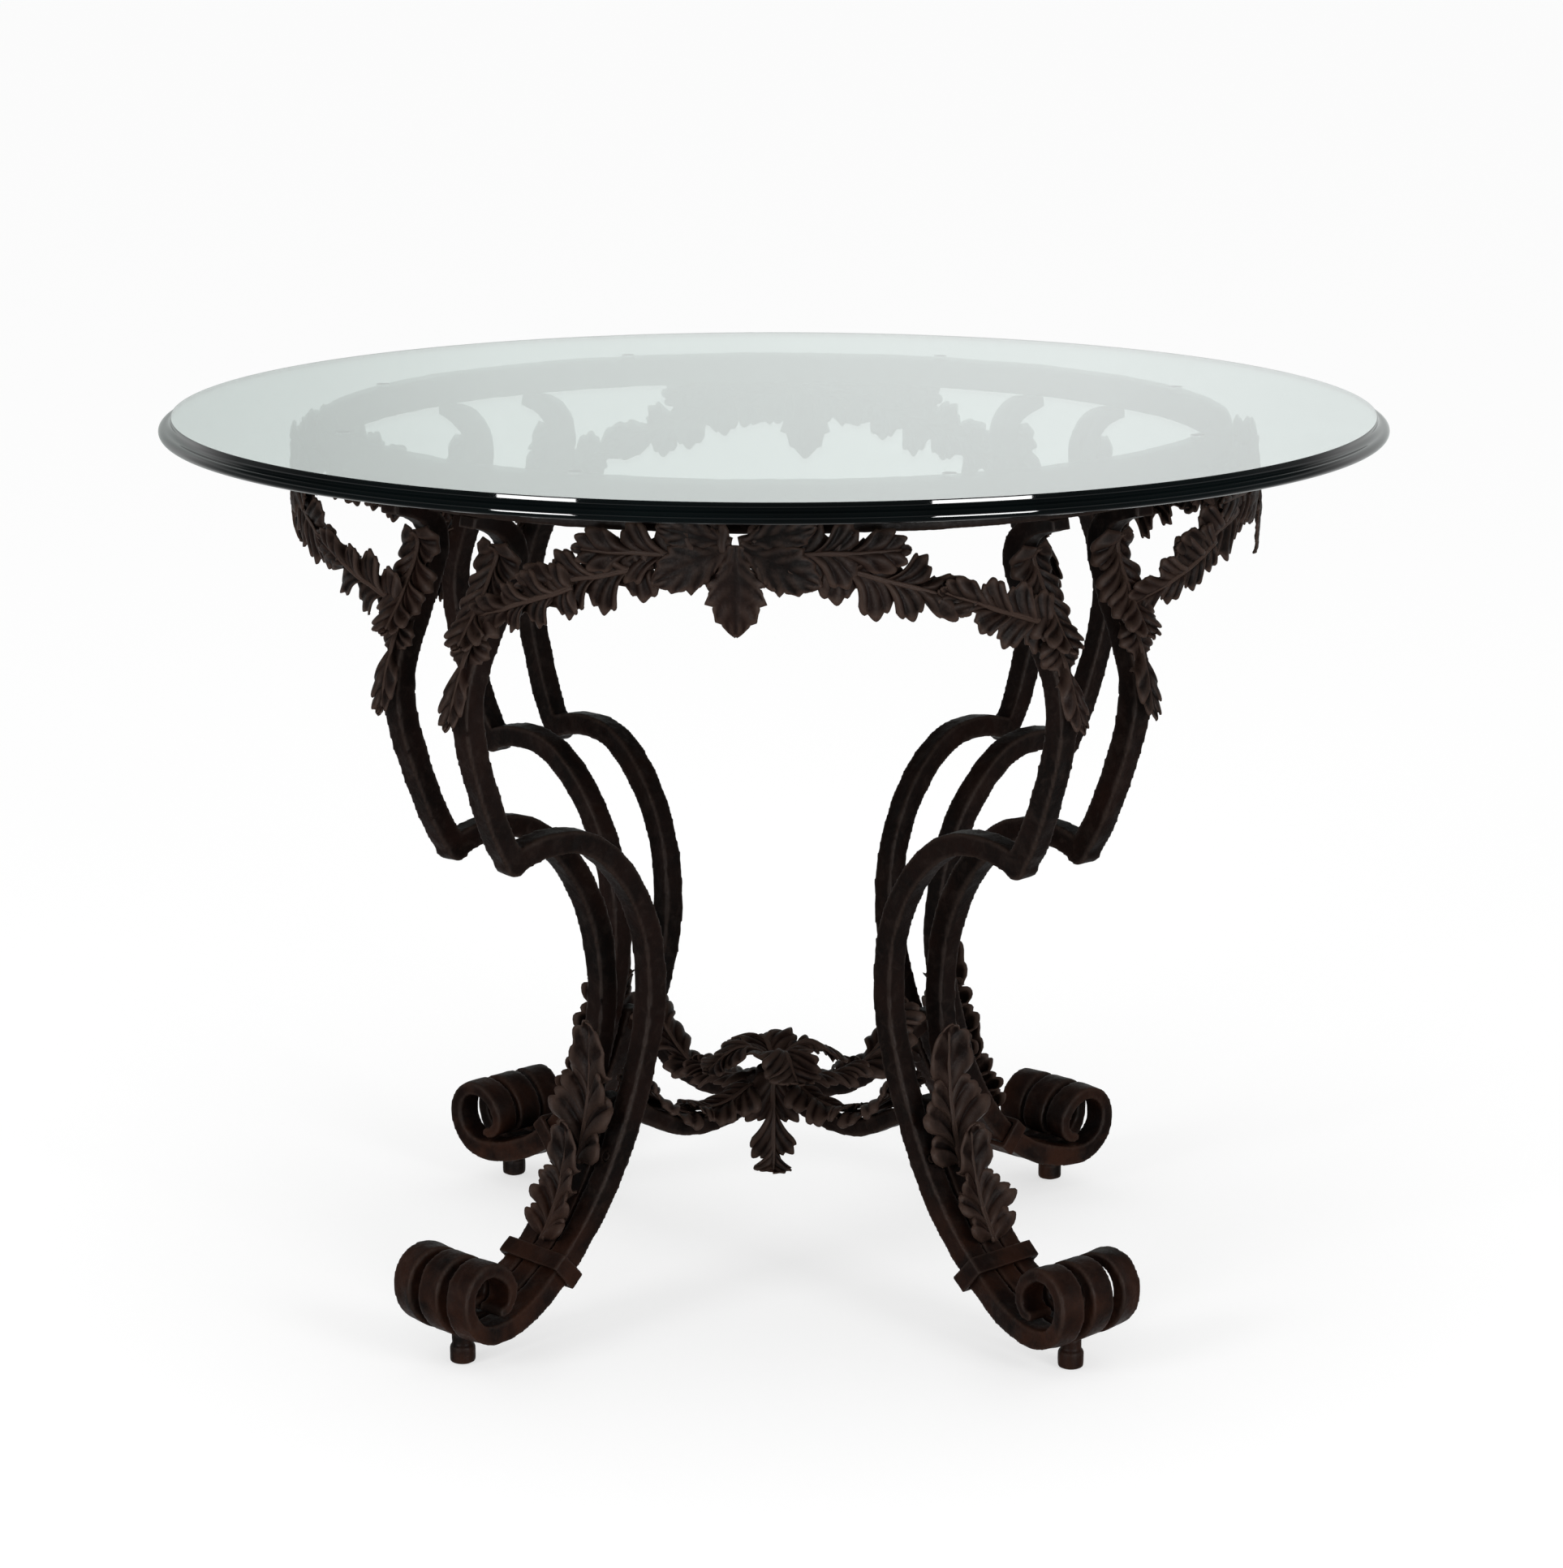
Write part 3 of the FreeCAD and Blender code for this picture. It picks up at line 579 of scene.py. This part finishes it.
PENDANT_STYLE = dict(
    GARLAND_STYLE, lobes=[(0.02, 2.0, 15, 0.5, 3), (0.48, 1.3, 22, 0.42, 3)], bend=0.45, forward=0.25,
    depth=0.35, stem=0.5, tip_start=0.84, tip_half=0.72, curl=7.0 * MM, sink=4.0 * MM,
)
VINE_STYLE = dict(
    notch=0.3, pleat=2.0 * MM, camber=2.4 * MM, arch=1.8 * MM, layer=0.5 * MM, rib_height=1.6 * MM,
)
VINE_TEETH = 5


def leaf(length, half, style, spine, seed, flat_half=1.0, wrap_radius=1.0):
    """Points and faces of one leaf on its spine."""
    if style is VINE_STYLE:
        patches = [serrated(style, length, half, VINE_TEETH)]
    else:
        patches = acanthus(length, half, style, random.Random(seed))
    points, faces = grid_faces(patches)
    return crumpled(laid(points, spine, flat_half, wrap_radius), seed), faces


def leaf_piece(name, leaves, stands_in_for):
    """One piece made of several leaves, as thick sheet, in place of a CAD node."""
    points = []
    faces = []
    first = 0
    for places, quads in leaves:
        points.append(places)
        faces += [tuple(first + i for i in quad) for quad in quads]
        first += len(places)
    obj = mesh_object(name, np.concatenate(points), faces, LEAF_IRON)
    thick = obj.modifiers.new("thickness", "SOLIDIFY")
    thick.thickness = LEAF_THICKNESS
    thick.offset = -1.0
    applied(obj)
    obj.data.polygons.foreach_set("use_smooth", [True] * len(obj.data.polygons))
    stands_for(obj, stands_in_for)


def bar_tree(name):
    """Search tree of a bar's CAD mesh."""
    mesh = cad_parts[name].data
    corners = [vertex.co.copy() for vertex in mesh.vertices]
    return BVHTree.FromPolygons(corners, [tuple(face.vertices) for face in mesh.polygons])


def floor_direction(degrees):
    """Unit vector on the floor at an angle from +X."""
    return np.array([math.cos(math.radians(degrees)), math.sin(math.radians(degrees)), 0.0])


def face_spine(tree, angle, offset, start, end, stand_off, lifts, reach=0.7):
    """Spine on the outer face of a bar between two heights, met from a reach in the leg's direction.

    The offset to the side is given by height. The stand-off and the lifts, in mm, go along the normal.
    """
    outward = Vector(floor_direction(angle))
    across = Vector((-outward.y, outward.x, 0))
    spine = []
    for i in range(FACE_STEPS + 1):
        share = i / FACE_STEPS
        height = start + share * (end - start)
        origin = outward * reach + across * offset(height) + Vector((0, 0, height))
        hit, normal, _, _ = tree.ray_cast(origin, -outward)
        if hit is None:
            continue
        lift = np.interp(share, [0, 0.25, 0.5, 0.75, 1.0], [v * MM for v in lifts])
        normal = np.array(normal)
        spine.append((np.array(hit) + normal * (stand_off * MM + lift), normal))
    return spine


def spine_length(spine):
    places = np.array([place for place, _ in spine])
    return float(np.sum(np.linalg.norm(np.diff(places, axis=0), axis=1)))


# Leaves of the legs: distance of a side bar from the middle of its leg and how it grows upwards, and
# how far the leaves lift off their bars, in mm, in five places along them
BAR_OFFSET = 21.5 * MM
BAR_SPREAD = 0.045
BAR_SPREAD_FROM = 0.068
KNEE_OFFSET = 21 * MM
SHOULDER_LIFTS = [2, 3, 4, 6, 11]
DROP_LIFTS = [0, 0, 1, 3, 8]
KNEE_LIFTS = [0, 5, 12, 19, 26]
ANKLE_LIFTS = [0, 5, 12, 20, 28]
INNER_REACH = 0.33


def make_shoulder_leaves(leg, angle, side_name, side):
    """A large leaf and a small one below it on the shoulder of a side bar."""
    def offset(height):
        return side * (BAR_OFFSET + BAR_SPREAD * (height - BAR_SPREAD_FROM))

    name = leg + "_" + side_name + "_shoulder_leaves"
    tree = bar_tree(leg + "_" + side_name + "_bar")
    seed = len(name) + angle + side
    big = face_spine(tree, angle, offset, 0.7195, 0.630, 2.5, SHOULDER_LIFTS)
    small = face_spine(tree, angle, offset, 0.646, 0.572, 1.5, DROP_LIFTS)
    leaves = [
        leaf(spine_length(big) * 1.08, 37 * MM, SHOULDER_STYLE, big, seed, 12 * MM, 24 * MM),
        leaf(spine_length(small) * 1.08, 25 * MM, DROP_STYLE, small, seed + 1, 10 * MM, 18 * MM),
    ]
    leaf_piece(name + "_sheet", leaves, name)


def make_low_leaves(leg, angle):
    """The knee leaf and the ankle leaf below it, between the bars of a lower leg."""
    knee = face_spine(bar_tree(leg + "_left_bar"), angle, lambda height: -KNEE_OFFSET, 0.146, 0.270, 3.5,
                      KNEE_LIFTS, INNER_REACH)
    across = np.array([math.sin(math.radians(angle)), -math.cos(math.radians(angle)), 0])
    knee = [(place + across * -KNEE_OFFSET, out) for place, out in knee]
    ankle = face_spine(bar_tree(leg + "_centre_bar"), angle, lambda height: 0.0, 0.086, 0.178, 3.0,
                       ANKLE_LIFTS, INNER_REACH)
    leaves = [leaf(spine_length(knee), 46 * MM, KNEE_STYLE, knee, angle + 5, 30 * MM, 40 * MM)]
    leaf_piece(leg + "_knee_leaf_sheet", leaves, leg + "_knee_leaf")
    leaves = [leaf(spine_length(ankle), 35 * MM, KNEE_STYLE, ankle, angle + 6, 22 * MM, 30 * MM)]
    leaf_piece(leg + "_ankle_leaf_sheet", leaves, leg + "_ankle_leaf")


def make_leg_leaves():
    for leg, angle in LEGS.items():
        make_shoulder_leaves(leg, angle, "left", -1)
        make_shoulder_leaves(leg, angle, "right", 1)
        make_low_leaves(leg, angle)


# The bow of a front garland, seen from above: depth at its ends and half its span
GARLAND_END = 0.313
GARLAND_HALF_SPAN = 0.221


def garland_spine(start, end, layer):
    """Spine on the bow of the front garland between two places (across, height), a layer proud of it."""
    start, end, layer = [v * MM for v in start], [v * MM for v in end], layer * MM
    depth = -corner("front_garland", True).y
    fall = depth - GARLAND_END
    bow = (GARLAND_HALF_SPAN ** 2 + fall ** 2) / (2 * fall)
    spine = []
    for i in range(SPINE_STEPS + 1):
        share = i / SPINE_STEPS
        across = start[0] + share * (end[0] - start[0])
        height = start[1] + share * (end[1] - start[1])
        y = bow - depth - math.sqrt((bow + layer) ** 2 - across ** 2)
        out = np.array([across, y - (bow - depth), 0.0])
        spine.append((np.array([across, y, height]), unit(out)))
    return spine


# Leaves of a garland and of a rosette: start and end (across, height), half width and layer, in mm
GARLAND_LEAVES = [
    ((-24, 728), (-150, 728), 33, 3.5),
    ((-84, 718), (-198, 688), 33, 0.0),
    ((-150, 696), (-238, 656), 27, 2.5),
    ((-8, 728), (118, 730), 33, 3.5),
    ((50, 722), (170, 682), 33, 0.0),
    ((232, 654), (140, 696), 29, 2.5),
]
VINE_LEAVES = [
    ((-19, 737), (-19, 664), 26, 7.5),
    ((-22, 737), (-86, 704), 23, 5.5),
    ((-16, 737), (48, 704), 23, 5.5),
    ((-22, 738), (-82, 750), 18, 4.5),
    ((-16, 738), (44, 751), 18, 4.5),
]
FESTOONS = [("_garland", GARLAND_LEAVES, GARLAND_STYLE, 1), ("_rosette", VINE_LEAVES, VINE_STYLE, 7)]


def make_garlands():
    for side, degrees in SIDES.items():
        for kind, rows, style, seed in FESTOONS:
            leaves = []
            for k, (start, end, half, layer) in enumerate(rows):
                spine = garland_spine(start, end, layer)
                points, faces = leaf(spine_length(spine), half * MM, style, spine, degrees + 10 * k + seed)
                leaves.append((turned_z(points, degrees), faces))
            leaf_piece(side + kind + "_sheet", leaves, side + kind)


# Leaves of a stretcher arm: reach of start and end in metres, half width and lift of the tip in mm
ARM_LEAVES = [(0.026, 0.108, 36, 8), (0.090, 0.178, 39, 22)]
ABOVE_ARMS = 0.4

# Leaves of the hub's rosette, in mm: start, length, height of the middle and of the wave, with its angle
ROSETTE_START = 3
ROSETTE_LENGTH = 62
ROSETTE_LIFT = 3
ROSETTE_RISE = 15
ROSETTE_WAVE = 3.6

# The pendant leaf's line: how far it stands off and how far it has dropped, in shares of swell and drop
PENDANT_LINE = [
    (0.0, 0.0), (0.0, 0.15), (0.25, 0.28), (0.65, 0.45), (0.9, 0.65), (1.0, 0.82), (1.25, 0.94), (1.8, 1.0),
]
PENDANT_STAND_OFF = 19 * MM
PENDANT_SWELL = 13 * MM
PENDANT_DROP = 90 * MM


def arm_spine(tree, outward, start, end, lift):
    """Spine on top of a stretcher arm, met from above, which lifts off towards its end."""
    spine = []
    for i in range(SPINE_STEPS + 1):
        share = i / SPINE_STEPS
        place = Vector(outward * (start + share * (end - start))) + Vector((0, 0, ABOVE_ARMS))
        hit, normal, _, _ = tree.ray_cast(place, Vector((0, 0, -1)))
        if hit is not None:
            up = np.array(normal)
            spine.append((np.array(hit) + up * (1.5 + lift * share ** 2) * MM, up))
    return spine


def rosette_spine(top):
    """Spine of a leaf of the hub's rosette along +X, which rises and droops again."""
    spine = []
    for i in range(ROSETTE_STEPS + 1):
        share = i / ROSETTE_STEPS
        reach = (ROSETTE_START + ROSETTE_LENGTH * share) * MM
        height = top + (ROSETTE_LIFT + ROSETTE_RISE * math.sin(share * ROSETTE_WAVE)) * MM
        slope = ROSETTE_RISE * ROSETTE_WAVE * math.cos(share * ROSETTE_WAVE) / ROSETTE_LENGTH
        spine.append((np.array([reach, 0, height]), unit(np.array([-slope, 0, 1.0]))))
    return spine


def pendant_spine(top):
    """Spine of the leaf that hangs at the front of the hub, and its length."""
    line = np.array([
        [0, -(PENDANT_STAND_OFF + out * PENDANT_SWELL), top - down * PENDANT_DROP]
        for out, down in PENDANT_LINE
    ])
    reach = np.concatenate([[0], np.cumsum(np.linalg.norm(np.diff(line, axis=0), axis=1))])
    fine = np.linspace(0, reach[-1], FACE_STEPS)
    places = np.stack([np.interp(fine, reach, line[:, k]) for k in range(3)], axis=1)
    runs = np.gradient(places, fine, axis=0)
    return [(place, unit(np.array([0, run[2], -run[1]]))) for place, run in zip(places, runs)], reach[-1]


def make_stretcher_leaves():
    for leg, angle in LEGS.items():
        tree = bar_tree(leg + "_stretcher_arm")
        leaves = []
        for k, (start, end, half, lift) in enumerate(ARM_LEAVES):
            spine = arm_spine(tree, floor_direction(angle), start, end, lift)
            seed = angle + k + 30
            leaves.append(leaf(spine_length(spine), half * MM, HUB_STYLE, spine, seed, 9 * MM, 18 * MM))
        leaf_piece(leg + "_arm_leaves_sheet", leaves, leg + "_arm_leaves")
    top = corner("stretcher_hub", False).z
    spine = rosette_spine(top + 1.5 * MM)
    leaves = []
    for k in range(4):
        points, faces = leaf(spine_length(spine), 35 * MM, HUB_STYLE, spine, k + 50)
        leaves.append((turned_z(points, 90 * k + 20), faces))
    leaf_piece("hub_rosette_sheet", leaves, "hub_rosette")
    spine, length = pendant_spine(top)
    leaf_piece("hub_pendant_sheet", [leaf(length, 27 * MM, PENDANT_STYLE, spine, 77)], "hub_pendant_leaf")


# The glass and its pads

def glass_profile(radius, bottom, top):
    """Half section of the glass edge from the underside to the upper face: radius and height."""
    lip_half = LIP_HEIGHT / 2
    lip_depth = EDGE_REACH / 2
    lip_top = bottom + LIP_HEIGHT
    step_fall = top - DISC_EDGE - lip_top
    step_radius = radius - lip_depth
    disc_radius = radius - EDGE_REACH
    profile = []
    for angle in np.linspace(-0.5 * np.pi, 0.5 * np.pi, 13):
        c, s = math.cos(angle), math.sin(angle)
        profile.append((step_radius + lip_depth * c, bottom + lip_half + lip_half * s))
    for angle in np.linspace(0.0, 0.5 * np.pi, 9)[1:]:
        c, s = math.cos(angle), math.sin(angle)
        profile.append((step_radius - lip_depth * s, top - DISC_EDGE - step_fall * c))
    profile.append((disc_radius, top - EDGE_ROUND))
    for angle in np.linspace(0.0, 0.5 * np.pi, 5)[1:]:
        c, s = math.cos(angle), math.sin(angle)
        profile.append((disc_radius - EDGE_ROUND * (1 - c), top - EDGE_ROUND * (1 - s)))
    return profile


def make_glass():
    """Round glass with a hollow step and a rounded lip."""
    top = corner("glass_top", False)
    profile = glass_profile(top.x, corner("glass_top", True).z, top.z)
    points = []
    for k in range(GLASS_SEGMENTS):
        turn = 2 * math.pi * k / GLASS_SEGMENTS
        points += [(r * math.cos(turn), r * math.sin(turn), z) for r, z in profile]
    rings = len(profile)
    faces = []
    for k in range(GLASS_SEGMENTS):
        a, b = k * rings, (k + 1) % GLASS_SEGMENTS * rings
        faces += [(a + i, b + i, b + i + 1, a + i + 1) for i in range(rings - 1)]
    faces.append(tuple((GLASS_SEGMENTS - 1 - k) * rings for k in range(GLASS_SEGMENTS)))
    faces.append(tuple(k * rings + rings - 1 for k in range(GLASS_SEGMENTS)))
    glass = mesh_object("glass_round", points, faces, GLASS_EDGE)
    glass.data.materials.append(GLASS)
    for flat in (glass.data.polygons[-1], glass.data.polygons[-2]):
        flat.use_smooth = False
        flat.material_index = 1
    stands_for(glass, "glass_top", "glass")


def dress_pads():
    """The pads keep their CAD shape and get their own material."""
    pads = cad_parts["glass_pads"]
    pads.data.materials.clear()
    pads.data.materials.append(PAD)


# Studio

FLOOR_HALF = 60.0

# Name, place, aim, width and height, power, and whether it lights the glossy part (else the matt part).
# The strips stay low, so that the flat glass mirrors them only in views that look along it.
LIGHTS = [
    ("softbox_left", (-2.48, -2.32, 1.9), (0, 0, 0.5), (1.1, 1.1), 34, False),
    ("softbox_right", (2.27, -2.53, 1.9), (0, 0, 0.5), (1.1, 1.1), 34, False),
    ("strip_left", (-2.13, -2.66, 0.36), (0, 0, 0.4), (0.85, 1.2), 120, True),
    ("strip_right", (2.03, -2.74, 0.36), (0, 0, 0.4), (1.05, 1.2), 150, True),
]

# The bright screen behind the table, dimmer to the left: its part of the world's X and its tones
BACKDROP_SPAN = (-0.17, 0.1)
BACKDROP = [
    (0.0, (0.57, 0.606, 0.593, 1.0)),
    (0.15, (0.625, 0.665, 0.65, 1.0)),
    (0.3, (0.718, 0.76, 0.745, 1.0)),
    (0.6, (0.782, 0.818, 0.806, 1.0)),
    (0.8, (0.8, 0.832, 0.823, 1.0)),
    (1.0, (0.748, 0.778, 0.77, 1.0)),
]


def make_floor():
    size = FLOOR_HALF
    corners = [(-size, -size, 0), (size, -size, 0), (size, size, 0), (-size, size, 0)]
    floor = mesh_object("studio_floor", corners, [(0, 1, 2, 3)], floor_material())
    floor.visible_glossy = False


def make_light(name, place, aim, size, power, in_gloss):
    """Soft box that lights either the matt or the glossy part of what it falls on."""
    light = bpy.data.lights.new(name, "AREA")
    light.shape = "RECTANGLE"
    light.size, light.size_y = size
    light.energy = power
    obj = link(bpy.data.objects.new(name, light))
    obj.location = place
    obj.rotation_euler = (Vector(aim) - Vector(place)).to_track_quat("-Z", "Y").to_euler()
    obj.visible_glossy = in_gloss
    obj.visible_diffuse = not in_gloss
    obj.visible_transmission = False
    obj.visible_camera = False


def make_world():
    """Soft studio surroundings: dim in front, brighter above and behind, dark overhead for reflections."""
    world = bpy.data.worlds.new("studio")
    world.use_nodes = True
    tree = world.node_tree
    direction = axes(tree, node(tree, "ShaderNodeTexCoord").outputs["Generated"])
    depth = grey_ramp(tree, direction["Y"], (0.0, 0.08), (0.45, 0.25), (0.75, 0.95))
    height = grey_ramp(tree, direction["Z"], (0.35, 0), (0.9, 1))
    behind = grey_ramp(tree, direction["Y"], (0.7, 0), (0.9, 1))
    low = grey_ramp(tree, direction["Z"], (0.0, 1), (0.4, 1), (0.6, 0))
    band = mix_node(tree, 1.0, behind, low, "MULTIPLY")
    horizon = grey_ramp(tree, direction["Z"], (0.1, 0), (0.18, 0.55), (0.34, 0.55), (0.45, 0))
    color = mix_node(tree, height, depth, grey(1.0))
    color = mix_node(tree, 1.0, color, horizon, "LIGHTEN")
    across = node(tree, "ShaderNodeMapRange")
    across.inputs["From Min"].default_value = BACKDROP_SPAN[0]
    across.inputs["From Max"].default_value = BACKDROP_SPAN[1]
    tree.links.new(direction["X"], across.inputs["Value"])
    color = mix_node(tree, band, color, ramp_node(tree, across.outputs["Result"], BACKDROP))
    gloss = node(tree, "ShaderNodeLightPath").outputs["Is Glossy Ray"]
    overhead = grey_ramp(tree, direction["Z"], (0.34, 1), (0.5, 0.05))
    color = mix_node(tree, gloss, color, mix_node(tree, 1.0, color, overhead, "MULTIPLY"))
    background = tree.nodes["Background"]
    tree.links.new(color, background.inputs["Color"])
    background.inputs["Strength"].default_value = 1.05
    bpy.context.scene.world = world


def make_camera():
    camera = bpy.data.cameras.new("camera")
    camera.sensor_fit = "HORIZONTAL"
    camera.sensor_width = SENSOR_WIDTH
    camera.lens = FOCAL_PIXELS / IMAGE_WIDTH * SENSOR_WIDTH
    obj = link(bpy.data.objects.new("camera", camera))
    c, s = math.cos(BASE_TURN), math.sin(BASE_TURN)
    x, y, z = CAMERA_PLACE
    obj.location = (x * c - y * s, x * s + y * c, z)
    obj.rotation_euler = (math.pi / 2 - CAMERA_PITCH, 0, -CAMERA_YAW + BASE_TURN)
    bpy.context.scene.camera = obj


def main():
    make_camera()
    make_world()
    make_floor()
    for row in LIGHTS:
        make_light(*row)
    make_glass()
    dress_pads()
    make_bars()
    make_leg_leaves()
    make_garlands()
    make_stretcher_leaves()
    bpy.context.scene.view_settings.view_transform = "Standard"


main()
